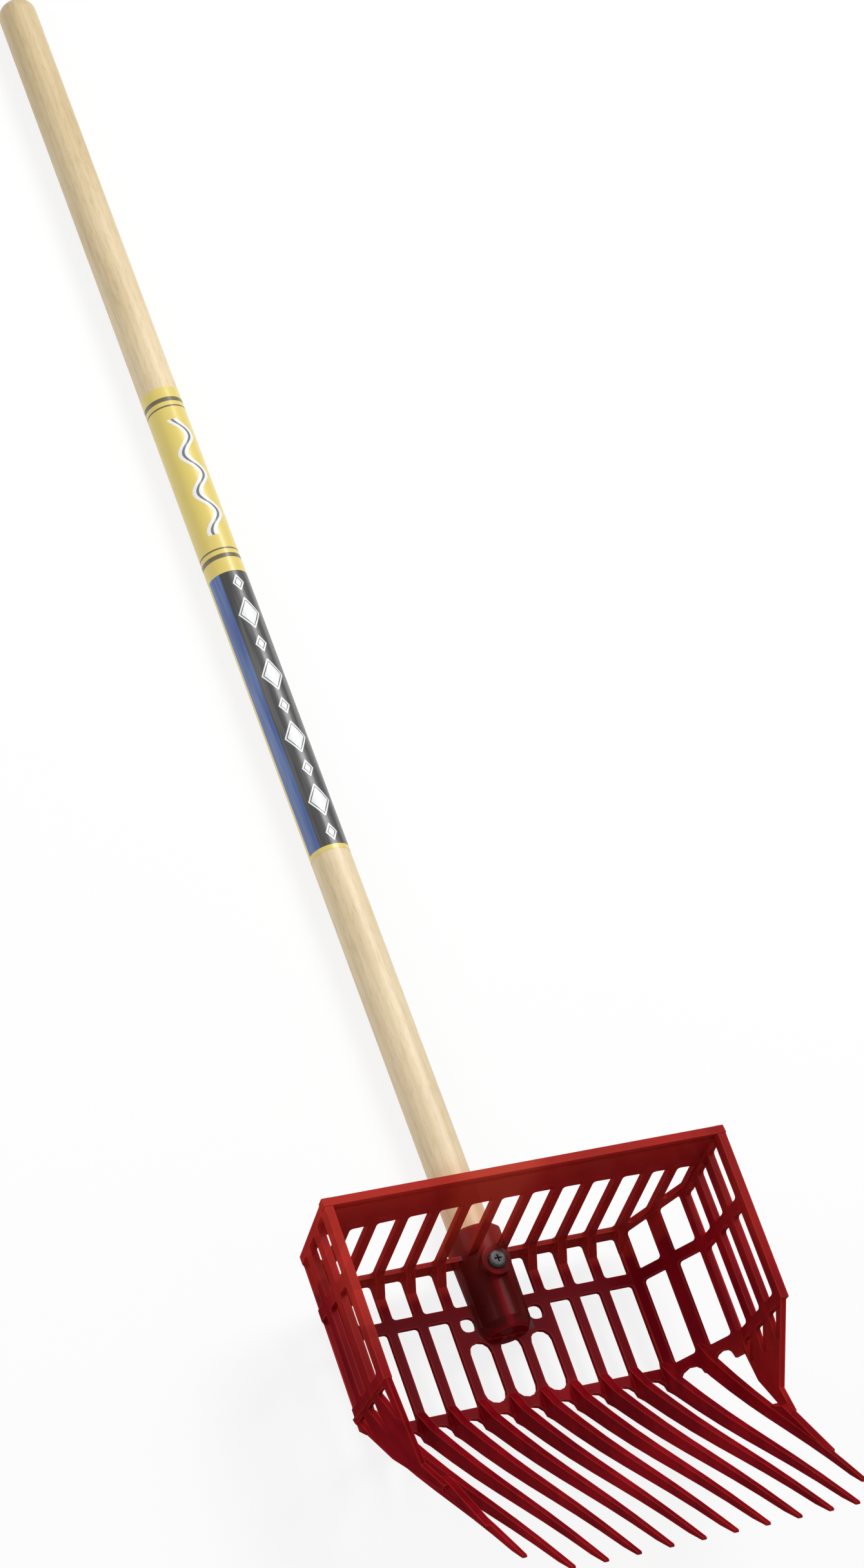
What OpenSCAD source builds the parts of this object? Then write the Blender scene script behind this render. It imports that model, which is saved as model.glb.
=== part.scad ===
// Manure fork: a one-piece slatted basket head with twelve tines,
// screwed to a turned wooden handle that carries a printed wrap label.
// The fork lies on its back: Y runs along the handle, Z points out of the basket mouth.

/* [Handle] */
// Diameter of the turned handle
handle_d = 32.6; // [30:0.2:36]
// Length of the handle from end to end
handle_len = 1270; // [1000:5:1500]
// Radius of the rounded top end
handle_end_r = 13; // [6:0.5:14]
// How much the handle's radius tapers off inside the socket
taper = 1; // [0.5:0.1:1.5]

/* [Wrap label] */
// Length of the label along the handle
label_len = 446; // [200:2:500]
// Distance from the top end of the handle to the label
label_from_top = 419; // [100:1:500]
// Thickness of the label
label_t = 0.12; // [0.1:0.01:0.2]

/* [Basket] */
// Spacing of the slats and the tines
tine_pitch = 25.4; // [24.4:0.1:26.4]
// Number of slots across the flat back
back_slots = 9; // [7:2:11]
// Width of a back slat
slat_w = 7.5; // [6:0.1:9]
// Thickness of the basket walls
wall_t = 4.2; // [3.6:0.1:5]
// Thickness of the side walls
side_t = 5.4; // [4.4:0.1:6]
// How far the slanted corner wall reaches sideways
corner_run_x = 43.2; // [38:0.2:50]
// How far the slanted corner wall reaches forwards
corner_run_z = 51.7; // [44:0.2:60]
// Width of the slat in the middle of a corner wall
corner_slat_w = 11.5; // [9:0.1:13]
// Length of the side wall from its corner to the front edge
side_run = 74.6; // [70:0.2:86]
// Outward splay of the side wall in degrees
side_splay = 1.2; // [0:0.1:6]
// Radius of the slot corners
slot_r = 2.6; // [1:0.1:3]

/* [Bars] */
// Height of the bar above the tines
low_bar_h = 7.9; // [7:0.1:11]
// Height of the long slots
long_slot_h = 70; // [66:0.5:90]
// Height of the middle bar
mid_bar_h = 9; // [7:0.1:12]
// Height of the upper slots
upper_slot_h = 31; // [26:0.5:40]

/* [Top plate] */
// Thickness of the top plate
plate_t = 4.1; // [3.6:0.1:5.4]
// Rise of the top plate towards the front in degrees
plate_rise = 9.1; // [0:0.1:14]
// Distance from the back wall to the plate's slots
plate_slot_gap = 9.4; // [7:0.1:11]
// Distance from the back wall to the front ends of the plate's slots
plate_slot_end = 88.5; // [78:0.5:95]
// How much shorter the plate's outermost slots are than the middle one
plate_bow = 5; // [0:0.1:7]
// Thickness of the lip along the front edges
lip_t = 6.6; // [6.2:0.1:9]
// Width of the lip along the front edges
lip_w = 7; // [5:0.1:9]
// Leg of the haunch between a back slat and the top plate
haunch = 13; // [6:0.5:15]

/* [Tines] */
// Length of a tine along its front ridge
tine_len = 288; // [220:1:320]
// Angle of the tines from the line of the slats in degrees
tine_angle = 47; // [42:0.1:52]
// Sway of the tines' front ridge, down towards the root and up towards the tip
tine_sway = 1.3; // [0:0.1:2.5]
// Sag of the tines' front ridge in the middle
tine_sag = 1.1; // [0:0.1:2.5]
// Depth of a tine at its root
tine_root_depth = 14; // [11:0.1:15]
// Depth of a tine at its tip
tine_tip_depth = 3.8; // [3:0.1:5]
// Width of a tine at its root
tine_root_w = 7.2; // [6:0.1:8.4]
// Width of a tine at its tip
tine_tip_w = 3.2; // [2.6:0.1:5]
// Length of the two tines at the folds
fold_tine_len = 284; // [220:1:300]
// Angle of the two tines at the folds from the line of the slats in degrees
fold_tine_angle = 46.7; // [42:0.1:52]
// Inward turn of the two outer tines on either side in degrees
outer_turn = 0.5; // [0:0.1:1.5]
// Length of an outermost tine
outer_tine_len = 237; // [200:1:280]
// Angle of the outermost tines from the line of the slats in degrees
outer_tine_angle = 42.8; // [38:0.1:48]
// Width of an outermost tine at its root
outer_tine_w = 6.2; // [5.4:0.1:7]

/* [Wing] */
// Thickness of the wing and its strap
wing_t = 4.4; // [3.6:0.1:5.5]

/* [Socket] */
// Distance from the tine bar's top edge to the floor of the socket
socket_floor = 64; // [60:0.5:70]
// Distance from the tine bar's top edge to the mouth of the socket
socket_mouth = 135; // [126:0.5:170]
// Wall of the socket at its mouth
socket_wall = 5.8; // [4:0.1:7]
// Depth of the flat along the back of the socket, on which the fork lies
socket_flat = 1; // [0.6:0.1:2]
// Gap between the handle and the socket
socket_gap = 0.15; // [0.1:0.01:0.3]
// Lean of the basket towards the handle in degrees
head_lean = 1.5; // [0:0.1:3]
// Distance of the handle's axis in front of the back wall
axis_rise = 1.3; // [0:0.1:4]
// Diameter of the screw boss
boss_d = 23.5; // [18:0.5:28]
// Distance from the handle's axis to the seat of the screw
boss_seat = 26.3; // [24:0.1:30]

/* [Screw] */
// Diameter of the screw head
screw_head_d = 14.2; // [11:0.1:16]
// Height of the screw head
screw_head_h = 3.4; // [2.5:0.1:5]
// Diameter of the screw's shank
screw_shank_d = 5; // [4:0.1:6]
// Length of the screw under its head
screw_len = 32; // [20:0.5:38]
// Gap between the shank and its holes
screw_gap = 0.15; // [0.1:0.01:0.3]

/* [Hidden] */
$fn = 48;
// Overrun of every cut
over = 2;
// Straight steps in a rounded slot corner, along a tine and round its tip
corner_steps = 3;
tine_steps = 7;
tip_steps = 5;
// Overrun of the rim's lips past the ends of the walls
lip_over = 0.4;
// Gap between the label and the wood
label_gap = 0.02;
// How far above the socket the handle's taper starts
taper_over = 0.5;
plastic = [0.55, 0.05, 0.08];
wood = [0.84, 0.72, 0.52];

// Shares of the sizes above
full_round_share = 0.49;
post_share = 0.68;
gap_start_share = 0.65;
gap_end_share = 1.5;
fold_slat_share = 0.16;
side_slat_share = 1.35;
side_edge_share = 1.45;
side_post_share = -0.6;
lip_out_share = 0.3;
haunch_w_share = 0.98;
haunch_tip_share = 1.1;
short_slot_share = 0.775;
hole_h_share = 1.3;
hole_w_share = 1.6;
hole_round_share = 0.4;
gusset_share = 0.6;
root_share = 0.07;
tip_share = 0.93;
tip_round_share = 0.33;
outer_depth_share = 1.05;
outer_x_share = 0.07;
plate_start_share = 0.85;
fin_x_share = 0.25;
fin_shares = [[0.44, -0.02], [0.44, 0], [0.515, 0.027], [0.79, 0], [0.79, -0.012]];
strap_end_share = 0.51;
apex_shares = [0.66, 0.73];
strap_end_shares = [1.14, 1.02];
fork_shares = [1.02, 1.03];
elbow_shares = [0.28, 0.487];
head_share = -0.12;
wing_in_share = 0.15;
wing_lap_share = 0.45;
wing_slot_shares = [0.15, 1.7];
wing_round_share = 0.3;
foot_taper_share = 0.3;
cap_share = 1.4;
cap_r_share = 0.8;
mouth_round_share = 0.5;
screw_y_share = 0.914;
dome_share = 0.55;
recess_len_share = 0.56;
recess_w_share = 0.13;
recess_h_share = 0.6;

// Plan of the walls on the inner side: fold, corner and front edge, as [across, forwards]
flat_half = back_slots*tine_pitch/2;
fold = [flat_half, 0];
corner = [flat_half + corner_run_x, corner_run_z];
front = corner + side_run*[sin(side_splay), cos(side_splay)];
corner_len = norm(corner - fold);
corner_turn = atan2(corner_run_z, corner_run_x);
side_turn = 90 - side_splay;

// Outward normals of the three walls and the outer side of the plan
flat_n = [0, -1];
corner_n = [sin(corner_turn), -cos(corner_turn)];
side_n = [sin(side_turn), -cos(side_turn)];
fold_out = fold + wall_t*mitre(flat_n, corner_n);
corner_out = corner + joint(corner_n, wall_t, side_n, side_t);
front_out = front + side_t*side_n;

// Heights above the top edge of the tine bar
mid_bar_lo = long_slot_h;
mid_bar_hi = mid_bar_lo + mid_bar_h;
plate_y = mid_bar_hi + upper_slot_h;
plate_turn = 90 - plate_rise;
// Lap of the tine roots over the wall, and the radius of the rounded roots between the tines
root_lap = 0.4;
root_r = (tine_pitch - tine_root_w)/2 + root_lap;
web_lo = -low_bar_h - root_r;

// Slots of the slanted corner walls, along the wall
post_w = corner_slat_w*post_share;
corner_mid = corner_len/2;
corner_slots = [[post_w, corner_mid - corner_slat_w/2], [corner_mid + corner_slat_w/2, corner_len - post_w]];
outer_tine_half = outer_tine_w/2/cos(corner_turn);
corner_gaps = [[post_w*gap_start_share, corner_mid - outer_tine_half],
    [corner_mid + outer_tine_half, corner_len - post_w*gap_end_share]];

// Slots of the side walls, along the wall, counted from the front edge
side_slat_w = slat_w*side_slat_share;
side_edge_w = slat_w*side_edge_share;
side_post_w = side_t*side_post_share;
side_ends = [for (i = [0:2]) side_run - side_edge_w - i*tine_pitch];
side_slots = [for (e = side_ends) [max(side_post_w, e - tine_pitch + side_slat_w), e]];

// Short slots and holes beside the foot of the socket
short_slot_top = socket_floor*short_slot_share;
hole_h = mid_bar_h*hole_h_share;
hole_w = slat_w*hole_w_share;

// Tine places across the flat, and the two outermost tines in the corner walls
tine_half = back_slots/2;
tine_xs = [for (i = [0:back_slots]) (i - tine_half)*tine_pitch];
outer_root = (fold + corner)/2 + [outer_tine_w*outer_x_share, 0];
outer_depth = tine_root_depth*outer_depth_share;

// Socket and screw
handle_r = handle_d/2;
taper_len = socket_mouth - socket_floor + taper_over;
floor_r = handle_r - taper + socket_gap;
bore_len = socket_mouth - socket_floor + over;
bore_r = floor_r + taper*bore_len/taper_len;
mouth_r = handle_r + socket_gap + socket_wall;
foot_r = mouth_r - socket_wall*foot_taper_share;
foot_y = socket_floor - socket_wall;
cap_h = socket_wall*cap_share;
cap_r = foot_r*cap_r_share;
mouth_round = socket_wall*mouth_round_share;
screw_y = plate_y*screw_y_share;
shank_r = screw_shank_d/2;
hole_r = shank_r + screw_gap;

// The wing's plane: along the foot of the side wall and towards a point on the outermost tine
outer_a = [-cos(outer_tine_angle), sin(outer_tine_angle)];
outer_b = [sin(outer_tine_angle), cos(outer_tine_angle)];
strap_dir = outer_a*outer_tine_len*strap_end_share;
wing_o = [corner.x, -low_bar_h, corner.y];
wing_end = [outer_root.x + outer_tine_w/2, strap_dir.x, outer_root.y + strap_dir.y];
wing_e1 = unit([front.x - corner.x, 0, front.y - corner.y]);
wing_n = unit(cross(wing_e1, wing_end - wing_o));
wing_e2 = cross(wing_n, wing_e1);
wing_tip = [(wing_end - wing_o)*wing_e1, (wing_end - wing_o)*wing_e2];

// Lowest point of the tines along the handle, and where the parts sit in the frame
tine_pts = tine_profile(tine_len, tine_angle, tine_root_depth);
tip_y = min([for (p = tine_pts) p.x*cos(head_lean) - (p.y - axis_rise)*sin(head_lean)]);
head_y = -(tip_y + socket_floor + handle_len)/2;
axis_z = mouth_r - socket_flat;

function unit(v) = v/norm(v);
function mitre(n1, n2) = (n1 + n2)/(1 + n1*n2);
function joint(n1, t1, n2, t2) = (n1*(t1 - (n1*n2)*t2) + n2*(t2 - (n1*n2)*t1))/(1 - (n1*n2)^2);
function flip(pts) = [for (p = pts) [-p.x, p.y]];
function back(pts) = [for (i = [len(pts) - 1:-1:0]) pts[i]];
function scaled(shares, size) = [shares.x*size.x, shares.y*size.y];
function box(x0, y0, x1, y1) = [[x0, y0], [x1, y0], [x1, y1], [x0, y1]];

// Points of one rounded corner of an outline that runs anticlockwise
function corner_arc(p0, p1, p2, r) =
    let (d1 = unit(p0 - p1), d2 = unit(p2 - p1), half = acos(d1*d2)/2)
    let (c = p1 + unit(d1 + d2)*r/sin(half), s = p1 + d1*r/tan(half) - c)
    let (a0 = atan2(s.y, s.x), sweep = 180 - 2*half)
    [for (i = [0:corner_steps]) c + r*[cos(a0 + sweep*i/corner_steps), sin(a0 + sweep*i/corner_steps)]];

// An outline with every corner rounded
function rounded(pts, r) =
    let (n = len(pts))
    [for (i = [0:n - 1]) each corner_arc(pts[(i + n - 1)%n], pts[i], pts[(i + 1)%n], r)];

// Side view of a tine as [along the slats, forwards]: gusset, swayed ridge, rounded tip and belly
function tine_profile(length, angle, depth) =
    let (a = [-cos(angle), sin(angle)], b = [sin(angle), cos(angle)])
    let (at = [for (i = [0:tine_steps]) root_share + (tip_share - root_share)*i/tine_steps])
    let (ridge = [for (t = at) a*length*t - b*(tine_sway*sin(360*t) + tine_sag*sin(180*t))])
    let (belly = [for (i = [tine_steps:-1:0]) ridge[i] - b*(depth + (tine_tip_depth - depth)*at[i])])
    let (r = tine_tip_depth*tip_round_share, tip = a*(length - r) - b*r)
    let (arc = [for (i = [0:tip_steps]) tip + r*(b*cos(180*i/tip_steps) + a*sin(180*i/tip_steps))])
    let (foot = [web_lo + root_lap, root_lap - wall_t], top = [-low_bar_h/2, root_lap - wall_t])
    concat([[low_bar_h*gusset_share, 0]], ridge, arc, belly, [foot, top]);

// How far forwards the plate's slots reach at a place across the fork
function slot_end(x) = plate_slot_end - plate_bow*(x/corner.x)^2;

// Height of the plate's underside at a distance in front of the back wall
function plate_under(z) = plate_y + z*tan(plate_rise);

// A plan outline drawn up along the slats
module upright(pts, lo, hi) {
    rotate([90, 0, 0])
        translate([0, 0, -hi])
            linear_extrude(hi - lo)
                polygon(pts);
}

// A cut through a wall, drawn in the wall's own plane
module cut(pts, r, t) {
    translate([0, 0, -t - over])
        linear_extrude(t + 2*over)
            polygon(rounded(pts, r));
}

module on_corner() {
    translate([fold.x, 0, fold.y])
        rotate([0, -corner_turn, 0])
            children();
}

module on_side() {
    translate([corner.x, 0, corner.y])
        rotate([0, -side_turn, 0])
            children();
}

module on_plate() {
    translate([0, plate_y, 0])
        rotate([plate_turn, 0, 0])
            children();
}

module both_sides() {
    children();
    mirror([1, 0, 0])
        children();
}

// Slots of the flat back: three short ones under the socket, long ones beside them
module back_cuts() {
    middle = (back_slots - 1)/2;
    last = back_slots - 1;
    for (i = [0:last]) {
        x0 = tine_xs[i] + (i == 0 ? slat_w*fold_slat_share : slat_w/2);
        x1 = tine_xs[i + 1] - (i == last ? slat_w*fold_slat_share : slat_w/2);
        if (abs(i - middle) <= 1) {
            cut(box(x0, 0, x1, short_slot_top), (x1 - x0)*full_round_share, wall_t);
        } else {
            cut(box(x0, 0, x1, mid_bar_lo), slot_r, wall_t);
        }
        if (i != middle) {
            cut(box(x0, mid_bar_hi, x1, plate_y), slot_r, wall_t);
        }
        if (abs(i - middle) == 1) {
            side = x0 < 0 ? x0 : x1 - hole_w;
            cut(box(side, mid_bar_lo - hole_h, side + hole_w, mid_bar_lo), hole_h*hole_round_share, wall_t);
        }
    }
}

// A rounded gap under the tine bar, between two tine roots
module root_cut(x0, x1) {
    cut(box(x0, 2*web_lo, x1, -low_bar_h), (x1 - x0)*full_round_share, wall_t);
}

module root_cuts() {
    for (i = [0:back_slots - 1])
        root_cut(tine_xs[i] + tine_pitch/2 - root_r, tine_xs[i] + tine_pitch/2 + root_r);
}

module corner_cuts() {
    for (s = corner_slots) {
        top = [for (q = s) plate_under(q*sin(corner_turn))];
        cut(box(s[0], 0, s[1], mid_bar_lo), slot_r, wall_t);
        cut([[s[0], mid_bar_hi], [s[1], mid_bar_hi], [s[1], top[1]], [s[0], top[0]]], slot_r, wall_t);
    }
    for (g = corner_gaps)
        root_cut(g[0], g[1]);
}

// Side slots: their top ends follow the rise of the top plate
module side_cuts() {
    for (s = side_slots) {
        top = [for (q = s) plate_under(corner.y + q*cos(side_splay)) - plate_t/2];
        cut(box(s[0], 0, s[1], mid_bar_lo), slot_r, side_t);
        cut([[s[0], mid_bar_hi], [s[1], mid_bar_hi], [s[1], top[1]], [s[0], top[0]]], slot_r, side_t);
    }
}

// A slot of the top plate between two places across the fork
module plate_cut(x0, x1, gap0, gap1) {
    cut([[x0, gap0], [x1, gap1], [x1, slot_end(x1)], [x0, slot_end(x0)]], slot_r, plate_t);
}

// Slots of the top plate: the outer ones start at the slanted corner walls
module plate_cuts() {
    for (i = [0:back_slots - 1])
        plate_cut(tine_xs[i] + slat_w/2, tine_xs[i + 1] - slat_w/2, plate_slot_gap, plate_slot_gap);
    step = corner_run_x/2;
    start = plate_slot_gap*plate_start_share;
    both_sides()
        for (i = [0:1]) {
            x0 = i*step + slat_w/2;
            x1 = (i + 1)*step - slat_w/2;
            slope = tan(corner_turn);
            plate_cut(fold.x + x0, fold.x + x1, start + x0*slope, start + x1*slope);
        }
}

// The walls: one folded band of back, corners and sides, cut off along the top plate's upper face
module walls() {
    reach = norm(corner) + side_run;
    top = plate_under(reach);
    inner = concat(flip([corner, fold]), [fold, corner]);
    outer = concat([corner_out, fold_out], flip([fold_out, corner_out]));
    difference() {
        union() {
            upright(concat(inner, outer), web_lo, top);
            both_sides()
                upright([corner, front, front_out, corner_out], -low_bar_h, top);
        }
        on_plate()
            translate([-reach, -reach, -plate_t - reach])
                cube([2*reach, 2*reach, reach]);
        back_cuts();
        root_cuts();
        both_sides() {
            on_corner()
                corner_cuts();
            on_side()
                side_cuts();
        }
    }
}

// The top plate, reaching into the walls, with its slots and the lip along the rim
module top_plate() {
    mid = wall_t/2;
    f = fold + mid*mitre(flat_n, corner_n);
    c = corner + mid*mitre(corner_n, side_n);
    e = front + mid*side_n;
    half = [for (p = [f, c, e]) [p.x, p.y/cos(plate_rise)]];
    lip_half = front_out.x + (lip_t - side_t)*lip_out_share + lip_over;
    on_plate()
        difference() {
            union() {
                translate([0, 0, -plate_t])
                    linear_extrude(plate_t)
                        polygon(concat(half, back(flip(half))));
                translate([-lip_half, half[2].y - lip_w, -plate_t])
                    cube([2*lip_half, lip_w + lip_over, lip_t]);
            }
            plate_cuts();
        }
}

// The lip down the front edge of a side wall
module side_lip() {
    on_side()
        translate([side_run - lip_w, -low_bar_h - lip_over, -side_t - (lip_t - side_t)*lip_out_share])
            cube([lip_w + lip_over, plate_under(front.y) + low_bar_h + 2*lip_over, lip_t]);
}

// Haunches that stiffen the fold between the back slats and the top plate
module haunches() {
    mid = wall_t/2;
    foot = [plate_y - haunch, 0];
    tip = foot + ([plate_under(haunch), haunch] - foot)*haunch_tip_share;
    pts = [[plate_y - haunch, -mid], foot, tip, [plate_y + plate_t/2, -mid]];
    for (x = tine_xs)
        if (abs(x) > tine_pitch)
            translate([abs(x) < flat_half ? x : x + sign(x)*slat_w*fold_slat_share, 0, 0])
                rotate([90, 0, 90])
                    linear_extrude(slat_w*haunch_w_share, center = true)
                        polygon(pts);
}

// One blade-like tine: its side view, thinned towards the tip
module tine(length, angle, depth, w) {
    intersection() {
        rotate([90, 0, 90])
            linear_extrude(w, center = true)
                polygon(tine_profile(length, angle, depth));
        rotate([180 - angle, 0, 0])
            linear_extrude(4*depth, center = true)
                polygon([[-w/2, -2*depth], [w/2, -2*depth], [w/2, 0], [tine_tip_w/2, length],
                    [-tine_tip_w/2, length], [-w/2, 0]]);
    }
}

module tines() {
    for (i = [1:back_slots - 1])
        translate([tine_xs[i], 0, 0])
            tine(tine_len, tine_angle, tine_root_depth, tine_root_w);
    both_sides() {
        translate([fold.x, 0, fold.y])
            rotate([0, -outer_turn, 0])
                tine(fold_tine_len, fold_tine_angle, tine_root_depth, tine_root_w);
        translate([outer_root.x, 0, outer_root.y])
            rotate([0, -outer_turn, 0]) {
                tine(outer_tine_len, outer_tine_angle, outer_depth, outer_tine_w);
                strap_fin();
            }
    }
}

// The end of the strap, laid along the outermost tine
module strap_fin() {
    translate([outer_tine_w*fin_x_share, 0, 0])
        rotate([90, 0, 90])
            linear_extrude(outer_tine_w, center = true)
                polygon([for (p = fin_shares) outer_tine_len*(p.x*outer_a + p.y*outer_b)]);
}

// The wing: a slotted web under the side wall and the strap that runs on to the outermost tine
module wing() {
    apex = scaled(apex_shares, [side_run, wing_tip.y]);
    end = scaled(strap_end_shares, wing_tip);
    fork = scaled(fork_shares, wing_tip);
    elbow = scaled(elbow_shares, wing_tip);
    head = wing_tip.x*head_share;
    lap = -low_bar_h*wing_lap_share;
    edge = side_run - lip_over;
    outline = [[edge, lap], [edge, 0], apex, end, fork, elbow, [head, 0], [head, lap]];
    multmatrix([[wing_e1.x, wing_e2.x, wing_n.x, wing_o.x], [wing_e1.y, wing_e2.y, wing_n.y, wing_o.y],
        [wing_e1.z, wing_e2.z, wing_n.z, wing_o.z]])
        translate([0, 0, -wing_t*wing_in_share])
            difference() {
                linear_extrude(wing_t)
                    polygon(outline);
                translate([0, 0, wing_t])
                    for (s = side_slots)
                        wing_cut(max(s[0], 0), s[1]);
            }
}

// A pointed slot of the wing, under a slot of the side wall
module wing_cut(p0, p1) {
    w = p1 - p0;
    top = mid_bar_h*wing_slot_shares[0];
    cut([[p1, top], [p0 + w/2, w*wing_slot_shares[1]], [p0, top]], slot_r*wing_round_share, wing_t);
}

// The closed socket on the handle's axis with its screw boss, drawn in the frame of the part
module socket() {
    neck = socket_mouth - mouth_round;
    translate([0, head_y, axis_z]) {
        rotate([-90, 0, 0]) {
            translate([0, 0, foot_y])
                cylinder(h = neck - foot_y, r1 = foot_r, r2 = mouth_r);
            translate([0, 0, neck])
                cylinder(h = mouth_round, r1 = mouth_r, r2 = mouth_r - mouth_round);
            translate([0, 0, foot_y - cap_h])
                cylinder(h = cap_h, r1 = cap_r, r2 = foot_r);
        }
        translate([0, screw_y, 0])
            cylinder(h = boss_seat, r = boss_d/2);
    }
}

module place_head() {
    translate([0, head_y, axis_z])
        rotate([head_lean, 0, 0])
            translate([0, 0, -axis_rise])
                children();
}

module fork_head() {
    color(plastic)
        difference() {
            union() {
                place_head() {
                    walls();
                    top_plate();
                    both_sides() {
                        side_lip();
                        wing();
                    }
                    haunches();
                    tines();
                }
                socket();
            }
            translate([-mouth_r, head_y, -mouth_r])
                cube([2*mouth_r, socket_mouth + over, mouth_r]);
            translate([0, head_y, axis_z]) {
                rotate([-90, 0, 0])
                    translate([0, 0, socket_floor])
                        cylinder(h = bore_len, r1 = floor_r, r2 = bore_r);
                translate([0, screw_y, 0])
                    cylinder(h = boss_seat + over, r = hole_r);
            }
        }
}

module handle() {
    end = handle_r - handle_end_r;
    color(wood)
        translate([0, head_y + socket_floor, axis_z])
            difference() {
                rotate([-90, 0, 0])
                    union() {
                        cylinder(h = taper_len, r1 = handle_r - taper, r2 = handle_r);
                        translate([0, 0, taper_len])
                            cylinder(h = handle_len - handle_end_r - taper_len, r = handle_r);
                        rotate_extrude()
                            translate([0, handle_len - handle_end_r])
                                union() {
                                    square([end, handle_end_r]);
                                    translate([end, 0])
                                        intersection() {
                                            circle(r = handle_end_r);
                                            square([handle_end_r, handle_end_r]);
                                        }
                                }
                    }
                translate([0, screw_y - socket_floor, boss_seat - screw_len - screw_gap])
                    cylinder(h = screw_len + handle_r, r = hole_r);
            }
}

module socket_screw() {
    color("dimgray")
        translate([0, head_y + screw_y, axis_z + boss_seat]) {
            translate([0, 0, -screw_len])
                cylinder(h = screw_len, r = shank_r);
            difference() {
                intersection() {
                    cylinder(h = screw_head_h, r = screw_head_d/2);
                    translate([0, 0, -screw_head_d*dome_share])
                        sphere(r = screw_head_d*dome_share + screw_head_h);
                }
                translate([0, 0, screw_head_h*(1 - recess_h_share)])
                    for (turn = [0, 90])
                        rotate([0, 0, turn])
                            translate(-screw_head_d*[recess_len_share, recess_w_share, 0]/2)
                                cube([screw_head_d*recess_len_share, screw_head_d*recess_w_share,
                                    screw_head_h]);
            }
        }
}

module handle_label() {
    inner = handle_r + label_gap;
    color("gold")
        translate([0, head_y + socket_floor + handle_len - label_from_top, axis_z])
            rotate([90, 0, 0])
                difference() {
                    cylinder(h = label_len, r = inner + label_t);
                    translate([0, 0, -over])
                        cylinder(h = label_len + 2*over, r = inner);
                }
}

fork_head();
handle();
socket_screw();
handle_label();
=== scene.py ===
import math
from typing import NamedTuple

import bmesh
import bpy
from bpy.props import FloatProperty, FloatVectorProperty, IntProperty, PointerProperty
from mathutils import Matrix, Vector


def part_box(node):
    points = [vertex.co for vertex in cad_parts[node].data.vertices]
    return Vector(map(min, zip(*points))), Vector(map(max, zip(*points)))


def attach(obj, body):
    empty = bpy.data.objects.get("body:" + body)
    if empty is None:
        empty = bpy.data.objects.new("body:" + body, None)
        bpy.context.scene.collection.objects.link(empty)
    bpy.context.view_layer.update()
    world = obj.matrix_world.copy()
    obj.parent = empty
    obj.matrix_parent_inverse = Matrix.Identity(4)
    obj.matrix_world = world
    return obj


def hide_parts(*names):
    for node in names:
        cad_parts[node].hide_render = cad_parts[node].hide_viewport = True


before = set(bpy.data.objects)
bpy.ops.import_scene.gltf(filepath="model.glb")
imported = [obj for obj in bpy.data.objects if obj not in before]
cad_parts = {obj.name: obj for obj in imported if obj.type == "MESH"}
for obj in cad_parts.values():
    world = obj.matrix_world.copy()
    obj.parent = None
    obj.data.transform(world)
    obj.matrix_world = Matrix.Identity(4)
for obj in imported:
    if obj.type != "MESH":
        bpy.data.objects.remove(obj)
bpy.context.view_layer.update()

bl_info = {
    "name": "Manure fork",
    "version": (1, 0, 0),
    "blender": (4, 5, 0),
    "location": "View3D > Sidebar > Fork",
    "description": "Finishes a slatted manure fork: plastic head, wooden handle, screw and printed wrap",
    "category": "Object",
}

HANDLE_LO, HANDLE_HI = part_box("handle")
LABEL_LO, LABEL_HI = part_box("handle_label")
SCREW_LO, SCREW_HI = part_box("socket_screw")
HANDLE_R = (HANDLE_HI.x - HANDLE_LO.x) / 2
SCREW_R = (SCREW_HI.x - SCREW_LO.x) / 2
SCREW_X = (SCREW_LO.x + SCREW_HI.x) / 2
SCREW_Y = (SCREW_LO.y + SCREW_HI.y) / 2
LABEL_LEN = LABEL_HI.y - LABEL_LO.y

# Places on the head, in metres: the handle's axis, the socket's outside, floor and mouth,
# the boss round the screw and the lowest bar of the basket
AXIS_Z = (HANDLE_LO.z + HANDLE_HI.z) / 2
SOCKET_R = AXIS_Z + 0.0015
FLOOR_Y = HANDLE_LO.y - 0.0145
MOUTH_Y = HANDLE_LO.y + 0.071
BOSS_R = SCREW_R + 0.0047
BAR_Y = HANDLE_LO.y - 0.064

# A face looks straight up or down when its normal's height passes this
UPRIGHT = 0.9
# Edges sharper than these stay sharp in the shading
TURNED_ANGLE = math.radians(30)
SCREW_ANGLE = math.radians(32)


class Grain(NamedTuple):
    """A noise: its scale per metre, detail, roughness and squeeze along the handle."""

    scale: float
    detail: float = 2
    rough: float = 0.5
    along: float = 1


def colour(title, text, default):
    """A colour that a user may change, as linear red, green and blue."""
    return FloatVectorProperty(
        name=title, description=text, subtype="COLOR", size=3, min=0, max=1, default=default
    )


def length(title, text, default):
    """A length in metres that a user may change."""
    return FloatProperty(name=title, description=text, unit="LENGTH", precision=5, default=default)


def turn(title, text, degrees):
    """An angle that a user may change."""
    return FloatProperty(
        name=title, description=text, subtype="ANGLE", default=math.radians(degrees)
    )


def share(title, text, default):
    """A number from 0 to 1 that a user may change."""
    return FloatProperty(
        name=title, description=text, subtype="FACTOR", min=0, max=1, default=default
    )


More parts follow.
